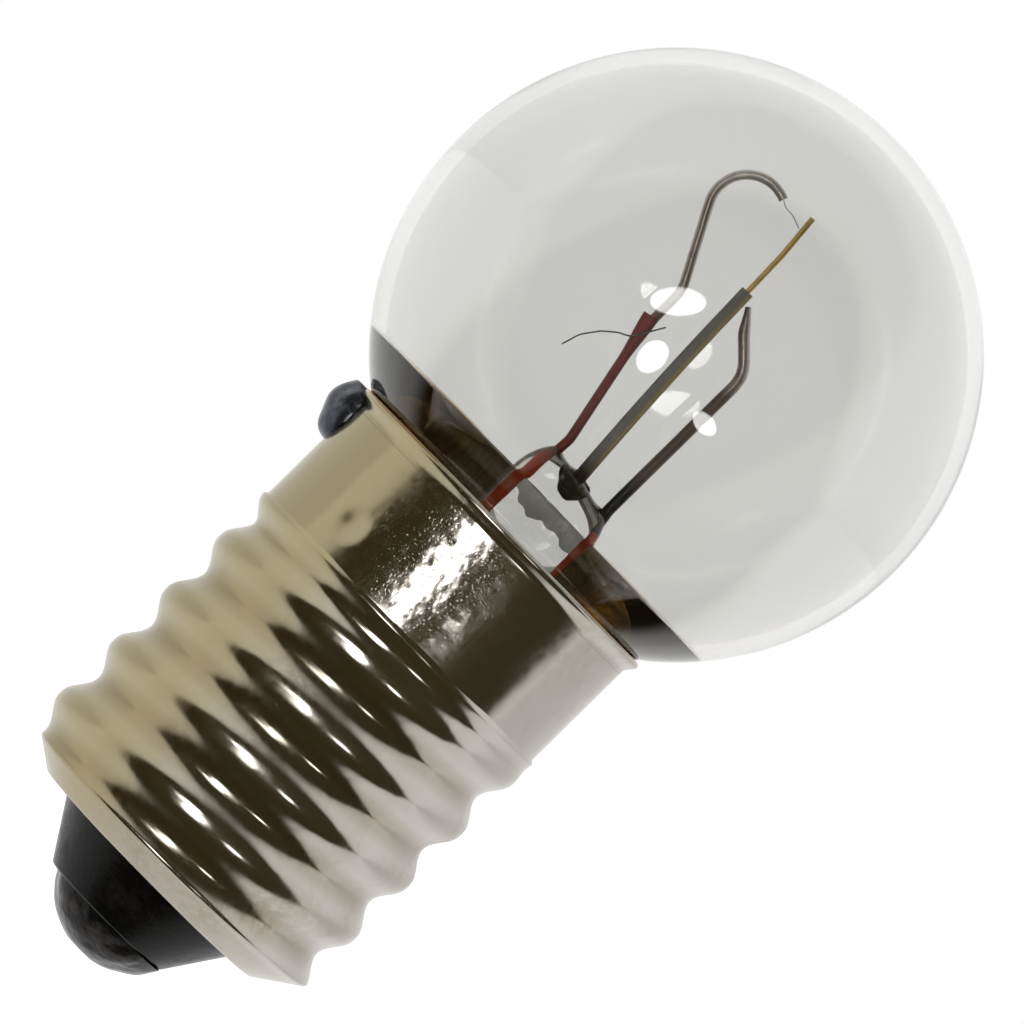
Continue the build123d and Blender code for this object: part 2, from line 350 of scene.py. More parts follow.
def bright_panel(name, place, size, strength, roll=0.0, on_glass=True, corners=48):
    glowing, tree = stage_material(name)
    glowing.cycles.emission_sampling = "NONE"
    ray, shows = light_path(tree)
    if not on_glass:
        shows = math("GREATER_THAN", shows, ray["Is Singular Ray"])
    shown = either(shows, first(tree, "ShaderNodeBsdfTransparent"), emission(tree, strength))
    link(shown, tree.nodes["Material Output"].inputs["Surface"])
    turn = facing_in(place) @ Matrix.Rotation(roll, 3, "Z")
    angles = [2 * pi * i / corners for i in range(corners)]
    edge = [Vector((cos(angle) * size[0] / 2, sin(angle) * size[1] / 2, 0)) for angle in angles]
    made = stage_mesh(name, [turn @ spot + Vector(place) for spot in edge], glowing)
    made.visible_camera = made.visible_diffuse = made.visible_shadow = False


bright_panel("strip_panel", (-56, -227, 74), (85, 44), 7.5, roll=radians(45))
bright_panel("window_panel", (-24, -236, -12), (42, 56), 6.5)
bright_panel("small_panel", (102, -213, -26), (44, 28), 8.0)
bright_panel("metal_panel", (-28, -232, 4), (66, 128), 5.0, on_glass=False)
print("bright panels in reflections only")

# %% Floor
floor_z, floor_half = -14.0, 900.0
paper_white, shade_glow, seen_white = (0.9, 0.9, 0.9, 1), 0.62, 1.0
paper, tree = stage_material("white_paper")
matt = first(tree, "ShaderNodeBsdfDiffuse", {"Color": paper_white})
shaded_glow = first(tree, "ShaderNodeAddShader", {0: matt, 1: emission(tree, shade_glow)})
ray, reflected = light_path(tree)
shown = either(ray["Is Camera Ray"], matt, shaded_glow)
shown = either(ray["Is Transmission Ray"], shown, emission(tree, seen_white))
shown = either(reflected, shown, first(tree, "ShaderNodeBsdfTransparent"))
link(shown, tree.nodes["Material Output"].inputs["Surface"])
corners = ((-1, -1), (1, -1), (1, 1), (-1, 1))
stage_mesh("floor", [Vector((x * floor_half, y * floor_half, floor_z)) for x, y in corners], paper)
print("floor at", floor_z, "mm")


# %% [markdown]
# ## Shared finishes as node groups
# Three effects come back in several materials, so each is a shader node group. "Tarnish" is a patchy
# stain with a finer grain inside it, as on plating that has been handled. "Height blend" goes from 0 to 1
# between two heights, for wires whose colour changes where the flame or the weld has heated them.
# "Surface waves" gives slow waves, as blown glass and melted solder have.

# %% Finish groups
def object_position(tree):
    return node(tree, "ShaderNodeTexCoord").outputs["Object"]


def noise_at(position, scale, seed, detail=3.0, roughness=0.55):
    inputs = {"Vector": position, "W": seed, "Scale": scale, "Detail": detail, "Roughness": roughness}
    return first(tree_of(position), "ShaderNodeTexNoise", inputs, noise_dimensions="4D")


def finish_group(name, inputs, outputs):
    return new_tree(name, "ShaderNodeTree", dict.fromkeys(inputs, FLOAT), dict.fromkeys(outputs, FLOAT))


def make_tarnish():
    tree, given, out = finish_group("Tarnish", ("Patches", "Grain", "Seed"), ("Mask", "Fine"))
    position = object_position(tree)
    patches = between(noise_at(position, given["Patches"], given["Seed"], 6.0, 0.62), 0.42, 0.72)
    fine = noise_at(position, given["Grain"], given["Seed"], 4.0, 0.6)
    link(times(patches, between(fine, 0.25, 0.6)), out["Mask"])
    link(fine, out["Fine"])
    return tree


def make_height_blend():
    tree, given, out = finish_group("Height blend", ("Low", "High"), ("Mask",))
    position = object_position(tree)
    ragged = scaled(noise_at(position, 2500.0, 3.0), 0.3 * mm, split(position)["Z"])
    link(between(ragged, given["Low"], given["High"]), out["Mask"])
    return tree


def make_surface_waves():
    tree, given, out = finish_group("Surface waves", ("Waves", "Seed"), ("Height",))
    link(noise_at(object_position(tree), given["Waves"], given["Seed"], 1.5, 0.4), out["Height"])
    return tree


tarnish_group = make_tarnish()
height_group = make_height_blend()
wave_group = make_surface_waves()
print("finish groups:", [group.name for group in bpy.data.node_groups])


# %% Material helpers
def effect(tree, group, **values):
    made = tree.nodes.new("ShaderNodeGroup")
    made.node_tree = group
    for name, value in values.items():
        made.inputs[name].default_value = value
    return made.outputs


def tarnish(tree, patches, grain, seed):
    return effect(tree, tarnish_group, Patches=patches, Grain=grain, Seed=seed)


def waves(tree, size, seed):
    return effect(tree, wave_group, Waves=size, Seed=seed)["Height"]


def above_bead(tree, low, high):
    """Mask that rises from 0 to 1 between two heights over the bead's top, in millimetres."""
    return effect(tree, height_group, Low=(bead_top + low) * mm, High=(bead_top + high) * mm)["Mask"]


def distance_from(tree, spot):
    """Distance of the shaded point from a spot in millimetres."""
    offset = vector_math("SUBTRACT", object_position(tree), tuple(Vector(spot) * mm))
    return vector_math("LENGTH", offset, output="Value")


def colour(shader, source):
    link(source, shader.inputs["Base Color"])


def roughen(shader, mask, rise, base):
    """Roughness that rises from a base with a mask."""
    link(scaled(mask, rise, base), shader.inputs["Roughness"])


def stain_or_shade(mask, share, clean, stain):
    """Colour with a stain or a painted shade that covers a share of it where the mask is full."""
    return mix(times(mask, share), clean, stain)


def bump(shader, height, depth):
    """Bump with its depth in millimetres."""
    made = node(shader.id_data, "ShaderNodeBump", {"Height": height, "Distance": depth * mm})
    link(made.outputs["Normal"], shader.inputs["Normal"])


bead_top = 16.67
print("material helpers ready")


# %% [markdown]
# ## Turned pieces
# The globe, the shell and the insulator are all round about one axis, so each starts as an outline of
# (radius, height) points that is turned about Z. An outline that starts and ends on the axis closes by
# itself; any other is a closed loop. Corners are softened first, because no real edge is perfectly sharp.

# %% Turning helpers
def arc(centre, radius, start, end, steps):
    """Points along an arc of an outline, with its angles in degrees."""
    angles = [radians(start + (end - start) * step / steps) for step in range(steps + 1)]
    return [Vector((centre[0] + radius * cos(a), centre[1] + radius * sin(a))) for a in angles]


def softened(corners, reach, closed=False, steps=6):
    """Outline whose corners are rounded off over a short reach to each side."""
    corners = [Vector(corner) for corner in corners]
    inner = range(len(corners)) if closed else range(1, len(corners) - 1)
    points = [] if closed else [corners[0]]
    for i in inner:
        corner, before, after = corners[i], corners[i - 1], corners[(i + 1) % len(corners)]
        start = corner + (before - corner) * min(0.45, reach / (before - corner).length)
        end = corner + (after - corner) * min(0.45, reach / (after - corner).length)
        for step in range(steps + 1):
            t = step / steps
            points.append(start * (1 - t) ** 2 + corner * 2 * t * (1 - t) + end * t**2)
    return points if closed else points + [corners[-1]]


def turned(outline, segments=144, hollow=False):
    """Mesh of an outline in millimetres turned about the axis; a hollow one faces inwards."""
    shape = bmesh.new()
    spokes = [(cos(2 * pi * i / segments), sin(2 * pi * i / segments)) for i in range(segments)]
    rings = []
    for radius, height in outline:
        at_axis = radius < 1e-6
        ring = [(0, 0, height)] if at_axis else [(radius * x, radius * y, height) for x, y in spokes]
        rings.append([shape.verts.new(Vector(place) * mm) for place in ring])
    on_axis = len(rings[0]) == 1
    for low, high in zip(rings, rings[1:] if on_axis else rings[1:] + rings[:1]):
        for i in range(segments):
            spots = ((low, i), (low, i + 1), (high, i + 1), (high, i))
            shape.faces.new(dict.fromkeys(ring[at % len(ring)] for ring, at in spots))
    bmesh.ops.recalc_face_normals(shape, faces=shape.faces)
    if hollow:
        bmesh.ops.reverse_faces(shape, faces=shape.faces)
    return shape


# %% Piece helpers
def piece(name, shapes, material, sharp=60):
    """Object at the origin from one or more shapes, smooth but for edges sharper than an angle."""
    mesh = bpy.data.meshes.new(name)
    whole = bmesh.new()
    for shape in shapes:
        shape.to_mesh(mesh)
        shape.free()
        whole.from_mesh(mesh)
    whole.to_mesh(mesh)
    whole.free()
    mesh.shade_smooth()
    mesh.set_sharp_from_angle(angle=radians(sharp))
    mesh.materials.append(material)
    print(name, len(mesh.polygons), "faces")
    return add_object(name, mesh)


def stands_for(made, node_name, body="lamp"):
    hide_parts(node_name)
    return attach(made, body)


# %% [markdown]
# ## The glass envelope
# A small globe is blown in a mould and melted on to its neck. The wall is thin and even round the globe
# and thickens at the throat, which bends the view there down into the brown cement: that is the dark band
# above the rim. So the glass needs its true wall, with an outer and an inner surface, and not a single
# skin. The inner surface faces the hollow. Very slow waves in the normals keep it from looking machined.
# At both sides of the throat, where no bead hides it, the glass is painted brown: a painted reflection of
# the cement.

# %% Clear glass
clear_glass, tree, shader = new_material("clear_glass", Roughness=0.0, IOR=1.55, Transmission_Weight=1.0)
# Painted shadow: the glass's grey tint stands for the shaded paper seen through the globe.
painted_shadow_tint, painted_band_tint = (0.80, 0.80, 0.785), (0.50, 0.33, 0.18)
side, _, height = split(object_position(tree))
# Painted reflection: low on the throat's sides the glass is tinted brown, standing for the cement seen
# there.
low = falling(height, 15.1 * mm, 15.4 * mm)
solder_side = falling(side, -2.7 * mm, -1.7 * mm)
other_side = times(between(side, 1.9 * mm, 3.4 * mm), 0.55)
painted_band = times(low, math("ADD", solder_side, other_side))
colour(shader, mix(painted_band, painted_shadow_tint, painted_band_tint))
bump(shader, waves(tree, 260.0, 2.0), 0.012)

# %% Glass envelope
globe_radius = 7.5
globe_wall = 0.40
globe_z = cad_high.z / mm - globe_radius
rim_z = 14.62
neck_radius = 3.66
neck_bore_radius = 2.91
neck_fillet = 0.5
seal_z = 8.02
seal_thickness = 1.2
seal_round, throat_round = 1.6, 0.45
throat_rise = 1.22
throat_drop = 1.40

reach = globe_radius + neck_fillet
fillet_x = neck_radius + neck_fillet
fillet_z = globe_z - sqrt(reach**2 - fillet_x**2)
joint_angle = degrees(atan2(fillet_z - globe_z, fillet_x))
outside = arc((0, globe_z), globe_radius, 90, joint_angle, 110)
outside += arc((fillet_x, fillet_z), neck_fillet, joint_angle + 180, 180, 10)[1:]
neck = [(neck_radius, fillet_z), (neck_radius, seal_z), (0, seal_z)]
outside += softened(neck, seal_round, steps=10)[1:]
outside[0].x = 0

inner_radius = globe_radius - globe_wall
throat_z = rim_z + throat_rise
throat_angle = degrees(asin((throat_z - globe_z) / inner_radius))
throat = Vector((inner_radius * cos(radians(throat_angle)), throat_z))
bore_top, bore_low = throat_z - throat_drop, seal_z + seal_thickness
bore = [throat, (neck_bore_radius, bore_top), (neck_bore_radius, bore_low), (0, bore_low)]
inside = arc((0, globe_z), inner_radius, 90, throat_angle, 100)
inside += softened(bore, throat_round, steps=12)[1:]
inside[0].x = 0
glass = piece("globe", [turned(outside), turned(inside, hollow=True)], clear_glass, sharp=80)
stands_for(glass, "glass_envelope")

# %% [markdown]
# ## The screw shell
# The shell is drawn from thin brass sheet as a plain cup and nickel plated, and then its thread is rolled
# in between two dies. It is made here in the same two steps: a plain turned cup, and a Geometry Nodes tree
# that rolls the round right-hand thread into the wall. A rule suits it well, because the wall's radius is
# a wave of the height and the angle, faded out at the shoulder and cut back by the slope of the heel. The
# plate has slow dents all over, is pressed uneven and pitted on the front of its collar, has one small
# dimple beside that, and is painted beige on the side of the solder as a painted reflection. The thread's
# grooves are painted darker and browner, and its inside dark brown: both are painted shade.

# %% Nickel plate
crest_radius = 4.69
root_radius = 4.27
pressed_spot, dimple_spot = (-0.5, -4.6, 12.7), (-2.6, -3.8, 12.0)
nickel_plate, tree, shader = new_material("nickel_plate", Metallic=1.0)
stain = tarnish(tree, 380.0, 4200.0, 4.0)
place = object_position(tree)
from_axis = vector_math("MULTIPLY", place, (1, 1, 0))
groove_low, groove_high = (root_radius + 0.02) * mm, (root_radius + 0.24) * mm
groove_shade = falling(vector_math("LENGTH", from_axis, output="Value"), groove_low, groove_high)
normal = node(tree, "ShaderNodeTexCoord").outputs["Normal"]
outwards = vector_math("DOT_PRODUCT", normal, from_axis, output="Value")
outwards = between(outwards, -0.2 * mm, 0.2 * mm)
ragged_x = scaled(stain["Fine"], 1.2 * mm, split(place)["X"])
plate = stain_or_shade(stain["Mask"], 0.4, (0.47, 0.445, 0.405), (0.28, 0.225, 0.14))
# Painted reflection: the plate is painted beige on the side of the solder.
plate = mix(between(ragged_x, -2.4 * mm, 0.4 * mm), (0.37, 0.32, 0.185), plate)
# Painted shade: the thread's grooves are painted darker and browner.
plate = stain_or_shade(groove_shade, 0.3, plate, (0.22, 0.16, 0.08))
# Painted shade: the faces inside the cup are painted dark brown.
colour(shader, mix(outwards, (0.10, 0.055, 0.02), plate))
rough = scaled(stain["Mask"], 0.14, 0.10)
roughen(shader, stain["Fine"], 0.06, rough)

# %% Dents in the plate
pressed = falling(distance_from(tree, pressed_spot), 0.9 * mm, 2.4 * mm)
hammered = times(waves(tree, 2400.0, 11.0), 2.6)
pits = between(waves(tree, 15000.0, 3.0), 0.60, 0.74)
uneven = scaled(pits, -0.20, hammered)
dimple = between(distance_from(tree, dimple_spot), 0.0, 0.62 * mm)
dents = scaled(dimple, 3.0, waves(tree, 1300.0, 8.0))
bump(shader, scaled(uneven, pressed, dents), 0.016)
print("plate nodes:", len(tree.nodes))


# %% Shape tree helpers
def shape_tree(name, shape, sizes, material, result):
    """Geometry Nodes tree that takes a shape, named sizes and a material."""
    inputs = {shape: GEOMETRY, **dict.fromkeys(sizes, FLOAT), material: MATERIAL}
    return new_tree(name, "GeometryNodeTree", inputs, {result: GEOMETRY})


def hand_over(tree, shape, material, result):
    """End a tree with real geometry that wears its material."""
    real = first(tree, "GeometryNodeRealizeInstances", {"Geometry": shape})
    link(first(tree, "GeometryNodeSetMaterial", {"Geometry": real, "Material": material}), result)


def run_tree(made, tree, **values):
    """Give an object a Geometry Nodes tree with its named inputs, and keep the result as a plain mesh."""
    modifier = made.modifiers.new(tree.name, "NODES")
    modifier.node_group = tree
    for item in tree.interface.items_tree:
        label = item.name.replace(" ", "_")
        if item.in_out == "INPUT" and label in values:
            modifier[item.identifier] = values[label]
    depsgraph = bpy.context.evaluated_depsgraph_get()
    settled = bpy.data.meshes.new_from_object(made.evaluated_get(depsgraph))
    made.modifiers.remove(modifier)
    made.data = settled
    print(made.name, len(settled.polygons), "faces after", tree.name)
    return made


# %% Thread rolling tree
def make_thread_rolling():
    radii = ("Crest radius", "Root radius")
    heights = ("Start height", "Fade height", "Fade length", "Heel blend")
    tree, given, out = shape_tree("Roll round thread", "Cup", ("Pitch", *radii, *heights), "Plate", "Shell")
    x, y, z = split(first(tree, "GeometryNodeInputPosition"))
    plain = math("SQRT", math("ADD", times(x, x), times(y, y)))
    turns = math("DIVIDE", math("ARCTAN2", y, x), 2 * pi)
    climb = math("DIVIDE", minus(z, given["Start height"]), given["Pitch"])
    wave = math("COSINE", times(minus(climb, turns), 2 * pi))
    depth = minus(given["Crest radius"], given["Root radius"])
    half_depth = times(depth, 0.5)
    middle = minus(given["Crest radius"], half_depth)
    rolled = scaled(wave, half_depth, middle)
    fade_start = minus(given["Fade height"], given["Fade length"])
    kept = falling(z, fade_start, given["Fade height"])
    drop = times(minus(plain, rolled), kept)
    wall = math("SMOOTH_MIN", plain, minus(plain, drop), given["Heel blend"])
    scale = math("DIVIDE", wall, plain)
    rolled_x, rolled_y = times(x, scale), times(y, scale)
    spot = first(tree, "ShaderNodeCombineXYZ", {0: rolled_x, 1: rolled_y, 2: z})
    moved = first(tree, "GeometryNodeSetPosition", {"Geometry": given["Cup"], "Position": spot})
    hand_over(tree, moved, given["Plate"], out["Shell"])
    return tree


# %% Screw shell
foot_z = 2.5
shell_wall = 0.22
thread_pitch = 1.814
thread_phase = 0.35
collar_radius = 4.60
shoulder_z = 11.02
bore_radius = root_radius - shell_wall
collar_bore_radius = collar_radius - shell_wall
foot_radius = 3.55
foot_bend = 0.1
foot_hole_radius = 2.85
heel_height, heel_rows = 0.80, 16
lip_radius = 4.83
lip_height = 0.30
thread_row, collar_row, collar_rows = 0.035, 0.06, 51

heel_top = foot_z + heel_height
rows = ceil((shoulder_z - heel_top) / thread_row)
wall = [Vector((crest_radius, heel_top + thread_row * row)) for row in range(rows)]
heel = [Vector((foot_radius, foot_z)).lerp(wall[0], row / heel_rows) for row in range(heel_rows)]
collar = [Vector((collar_radius, shoulder_z + collar_row * (row + 1))) for row in range(collar_rows)]
lip = [
    (collar_radius, rim_z - 0.55),
    (collar_radius, rim_z - lip_height - 0.1),
    (lip_radius, rim_z - 0.14),
    (lip_radius - 0.17, rim_z),
    (collar_bore_radius, rim_z - lip_height - 0.05),
    (collar_bore_radius, shoulder_z),
]
within = [
    (collar_bore_radius, shoulder_z - 0.1),
    (bore_radius, shoulder_z - 0.6),
    (bore_radius, heel_top + 0.25),
    (foot_radius - foot_bend, foot_z + shell_wall),
    (foot_hole_radius, foot_z + shell_wall),
    (foot_hole_radius, foot_z),
    (foot_radius - foot_bend, foot_z),
]
cup = turned([*heel, *wall, *collar, *softened(lip, 0.12), *softened(within, 0.08)], segments=176)
shell = piece("screw_cap", [cup], nickel_plate, sharp=75)
run_tree(
    shell,
    make_thread_rolling(),
    Pitch=thread_pitch * mm,
    Crest_radius=crest_radius * mm,
    Root_radius=root_radius * mm,
    Start_height=(foot_z + thread_phase * thread_pitch) * mm,
    Fade_height=(shoulder_z + 0.1) * mm,
    Fade_length=0.9 * mm,
    Heel_blend=0.12 * mm,
    Plate=nickel_plate,
)
stands_for(shell, "screw_shell")

# %% [markdown]
# ## Insulator, eyelet and cement
# A cone of black glass closes the foot of the shell and carries the centre contact on a small eyelet. It
# is pressed hot into the shell, so its edges are rounded and its skin is glossy. The cement under the rim
# is a baked ring of brown powder. All three are turned. The cement shows only through the thick throat. It
# wets the glass at both sides, where it reaches a hair's breadth into it so that no film of air mirrors it
# away, and has come off the glass in front and behind. Behind the bead it is painted pale: painted light.

# %% Black glass, cement and brass
black_glass, tree, shader = new_material("black_glass", Specular_IOR_Level=0.15)
dust = tarnish(tree, 900.0, 6000.0, 9.0)
colour(shader, stain_or_shade(dust["Mask"], 0.35, (0.002, 0.002, 0.002), (0.014, 0.010, 0.007)))
roughen(shader, dust["Mask"], 0.30, 0.22)
bump(shader, dust["Fine"], 0.008)

brown_cement, tree, shader = new_material("brown_cement", Roughness=0.85)
crumb = tarnish(tree, 1400.0, 9000.0, 12.0)
amber_spot, amber_tint, painted_light_tint = (3.2, -2.4, 14.0), (0.75, 0.38, 0.04), (0.93, 0.92, 0.89)
amber = falling(distance_from(tree, amber_spot), 0.3 * mm, 1.2 * mm)
clay = mix(crumb["Fine"], (0.10, 0.055, 0.02), (0.42, 0.27, 0.11))
clay = mix(amber, clay, amber_tint)
side, depth, _ = split(object_position(tree))
past_left = between(side, -1.15 * mm, -0.7 * mm)
past_right = falling(side, 1.3 * mm, 1.9 * mm)
at_back = between(depth, 0.0, 1.0 * mm)
behind_bead = times(past_left, times(past_right, at_back))
# Painted light: behind the bead the cement is painted pale, standing for light that passes behind the neck.
colour(shader, mix(behind_bead, clay, painted_light_tint))
bump(shader, crumb["Fine"], 0.05)

plain_brass, tree, shader = new_material("plain_brass", Metallic=1.0)
tone = tarnish(tree, 1500.0, 8000.0, 15.0)
colour(shader, mix(tone["Mask"], (0.72, 0.50, 0.18), (0.40, 0.25, 0.08)))
roughen(shader, tone["Fine"], 0.2, 0.22)

# %% Insulator and eyelet
tip_z, tip_radius = 1.0, 1.85
insulator_radius, insulator_top = 3.30, 4.22
eyelet_bore, eyelet_radius, eyelet_flange = 0.25, 0.42, 1.35
eyelet_low, eyelet_top = 0.75, 2.2
seat_radius = foot_hole_radius - 0.01
insulator_outline = [
    (eyelet_radius, tip_z),
    (tip_radius, tip_z),
    (seat_radius, foot_z),
    (seat_radius, foot_z + shell_wall),
    (insulator_radius, foot_z + shell_wall),
    (insulator_radius, insulator_top),
    (eyelet_radius, insulator_top),
]
insulator = piece("insulator", [turned(softened(insulator_outline, 0.08, closed=True))], black_glass)
stands_for(insulator, "base_insulator")

eyelet_outline = [
    (eyelet_bore, eyelet_low),
    (eyelet_flange, eyelet_low),
    (eyelet_flange, tip_z),
    (eyelet_radius, tip_z),
    (eyelet_radius, eyelet_top),
    (eyelet_bore, eyelet_top),
]
eyelet = piece("eyelet", [turned(softened(eyelet_outline, 0.05, closed=True), 64)], plain_brass)
stands_for(eyelet, "contact_eyelet")

# %% Cement
cement_top = rim_z - 0.4
cement_low = globe_z - sqrt(globe_radius**2 - neck_radius**2) - 0.1
cement_depth = 3.0
wetted = 0.03
dry_from, dry_fade = 0.78, 0.12
top_angle = degrees(asin((cement_top - globe_z) / globe_radius))
neck_angle = -degrees(acos(neck_radius / globe_radius))
cement_bore, cement_radius = neck_radius + 0.02, collar_bore_radius - 0.01
cement_outline = [
    (cement_bore, cement_top - cement_depth),
    (cement_radius, cement_top - cement_depth),
    (cement_radius, cement_top),
    *arc((0, globe_z), globe_radius - wetted, top_angle, neck_angle, 6),
    (cement_bore, cement_low - 0.1),
]
ring = turned([Vector(point) for point in cement_outline])
for vert in ring.verts:
    from_side = abs(vert.co.y) / vert.co.xy.length
    if vert.co.z > cement_low * mm and vert.co.xy.length < (collar_bore_radius - 0.1) * mm:
        lift = 2 * wetted * min(1.0, max(0.0, (from_side - dry_from) / dry_fade))
        vert.co.xy *= 1 + lift * mm / vert.co.xy.length
cement = piece("cement_ring", [ring], brown_cement, sharp=40)
stands_for(cement, "basing_cement")


# %% [markdown]
# ## Solder
# Two beads of solder end the circuit: a dome under the insulator, worn flat at its tip, and a blob over the
# wire's end beside the lip. Melted metal sets in a rounded but uneven lump, so each is a smooth form pushed
# in and out a little by noise, with a darker, oxidised skin. The blob's pale blue-grey patches are painted
# reflections.

# %% Dark solder
def solder_skin(name, dark, pale_or_sheen):
    material, tree, shader = new_material(name, Metallic=0.85)
    skin_or_sheen = tarnish(tree, 1100.0, 5200.0, 21.0)
    colour(shader, mix(skin_or_sheen["Mask"], dark, pale_or_sheen))
    roughen(shader, skin_or_sheen["Fine"], 0.25, 0.12)
    bump(shader, waves(tree, 2600.0, 6.0), 0.05)
    return material


dark_solder = solder_skin("dark_solder", (0.012, 0.012, 0.013), (0.04, 0.036, 0.032))
# Painted reflection: the blob's pale blue-grey patches stand for reflected light.
blue_solder = solder_skin("blue_solder", (0.05, 0.055, 0.066), (0.20, 0.21, 0.23))

# %% Solder beads
dome_offset, worn_radius, dome_foot = 0.12, 0.45, 1.78
swell_rise, swell_size, swell_share = 0.3, 0.7, 0.05
dome_centre = (tip_z**2 + dome_foot**2 - worn_radius**2) / (2 * tip_z)
dome_radius = hypot(dome_centre, worn_radius)
dome_start = degrees(atan2(-dome_centre, worn_radius))
dome_end = degrees(atan2(tip_z - dome_centre, dome_foot))
dome_arc = arc((0, dome_centre), dome_radius, dome_start, dome_end, 30)
dome = turned([Vector((0, 0)), *dome_arc, Vector((0, tip_z))], 96)
for vert in dome.verts:
    grow = min(1.0, vert.co.z / (swell_rise * mm))
    swell = noise.noise(vert.co / (swell_size * mm)) * swell_share * grow
    vert.co = Vector((vert.co.x * (1 + swell) + dome_offset * mm, vert.co.y * (1 + swell), vert.co.z))
tip_solder = piece("tip_solder", [dome], dark_solder)
stands_for(tip_solder, "contact_solder")

side_solder_z = 13.84
blob_radius, blob_squeeze = 0.91, 0.88
lump_size, lump_share = 0.8, 0.10
blob_centre = Vector((-4.47, 0, side_solder_z))
blob = bmesh.new()
bmesh.ops.create_icosphere(blob, subdivisions=5, radius=blob_radius)
for vert in blob.verts:
    lump = 1 + lump_share * noise.noise(vert.co / lump_size + Vector((3, 1, 5)))
    spot = blob_centre + Vector((vert.co.x * blob_squeeze, vert.co.y, vert.co.z)) * lump
    vert.co = Vector((min(spot.x, -collar_bore_radius - 0.1), spot.y, min(spot.z, rim_z - 0.06))) * mm
side_solder = piece("side_solder_blob", [blob], blue_solder)
stands_for(side_solder, "side_solder")


# %% [markdown]
# ## Wires
# Leads, hook, contact wire and post are all drawn wire that was cut, bent and welded. One Geometry Nodes
# tree makes them: it takes a route of a few points, rounds the bends, sweeps a circle along it and, past a
# given share of its length, beats the end flat. The routes lie in the plane of the bead.

# %% Wire drawing tree
def rounded_route(tree, route, radius, count):
    """Curve along a route with its bends rounded."""
    curve = first(tree, "GeometryNodeMeshToCurve", {"Mesh": route})
    bends = {"Curve": curve, "Radius": radius, "Limit Radius": True, "Count": count}
    return first(tree, "GeometryNodeFilletCurve", bends, mode="POLY")


def swept(tree, curve, diameter, sides):
    """Smooth mesh of a round wire along a curve."""
    radius = times(diameter, 0.5)
    section = first(tree, "GeometryNodeCurvePrimitiveCircle", {"Resolution": sides, "Radius": radius})
    inputs = {"Curve": curve, "Profile Curve": section, "Fill Caps": True}
    drawn = first(tree, "GeometryNodeCurveToMesh", inputs)
    return first(tree, "GeometryNodeSetShadeSmooth", {"Geometry": drawn})


def make_wire_drawing():
    sizes = ("Diameter", "Bend radius", "Flat start", "Flat depth", "Flat height")
    tree, given, out = shape_tree("Draw wire", "Route", sizes, "Metal", "Wire")
    bent = rounded_route(tree, given["Route"], given["Bend radius"], 12)
    even = first(tree, "GeometryNodeResampleCurve", {"Curve": bent, "Length": 0.05 * mm}, mode="LENGTH")
    kept = tree.nodes.new("GeometryNodeCaptureAttribute")
    kept.capture_items.new("VECTOR", "Centre")
    kept.capture_items.new("FLOAT", "Along")
    link(even, kept.inputs["Geometry"])
    link(first(tree, "GeometryNodeInputPosition"), kept.inputs["Centre"])
    link(node(tree, "GeometryNodeSplineParameter").outputs["Factor"], kept.inputs["Along"])
    drawn = swept(tree, kept.outputs["Geometry"], given["Diameter"], 20)
    beaten = between(kept.outputs["Along"], given["Flat start"], 1.0)
    shares = []
    for flat in ("Flat height", "Flat depth"):
        change = minus(math("DIVIDE", given[flat], given["Diameter"]), 1.0)
        shares.append(scaled(beaten, change, 1.0))
    squeeze = first(tree, "ShaderNodeCombineXYZ", {0: shares[0], 1: shares[1], 2: shares[0]})
    centre = kept.outputs["Centre"]
    offset = vector_math("SUBTRACT", first(tree, "GeometryNodeInputPosition"), centre)
    spot = vector_math("ADD", centre, vector_math("MULTIPLY", offset, squeeze))
    flattened = first(tree, "GeometryNodeSetPosition", {"Geometry": drawn, "Position": spot})
    hand_over(tree, flattened, given["Metal"], out["Wire"])
    return tree


# %% Wires from routes
wire_tree = make_wire_drawing()


def on_mount(x, rise, depth=0.0):
    """A point of the wire mount in millimetres, by its height above the bead's top."""
    return Vector((x, depth, bead_top + rise))


def route_object(name, points):
    mesh = bpy.data.meshes.new(name)
    mesh.from_pydata([point * mm for point in points], [(i, i + 1) for i in range(len(points) - 1)], [])
    return add_object(name, mesh)


def wire(name, points, diameter, metal, bend=0.5, flat_length=0.0, flat_depth=0.0, flat_height=0.0):
    length = sum((b - a).length for a, b in zip(points, points[1:]))
    return run_tree(
        route_object(name, points),
        wire_tree,
        Diameter=diameter * mm,
        Bend_radius=bend * mm,
        Flat_start=1 - flat_length / length if flat_length else 0.9999,
        Flat_depth=(flat_depth or diameter) * mm,
        Flat_height=(flat_height or diameter) * mm,
        Metal=metal,
    )


# %% [markdown]
# ## Lead wires
# The leads are copper clad and glazed red, so that glass wets and seals to them. Inside the bead, where
# glass touches the glaze, they shine bright red. Above it the flame has darkened them.

# %% Red leads
red_glaze, tree, shader = new_material(
    "red_glaze", Metallic=0.15, Specular_IOR_Level=0.25, Coat_Weight=0.12
)
streak = tarnish(tree, 2200.0, 9000.0, 31.0)
glaze = mix(above_bead(tree, -0.25, 0.35), (0.90, 0.085, 0.018), (0.20, 0.014, 0.010))
colour(shader, stain_or_shade(streak["Mask"], 0.5, glaze, (0.10, 0.02, 0.015)))
roughen(shader, streak["Fine"], 0.25, 0.22)

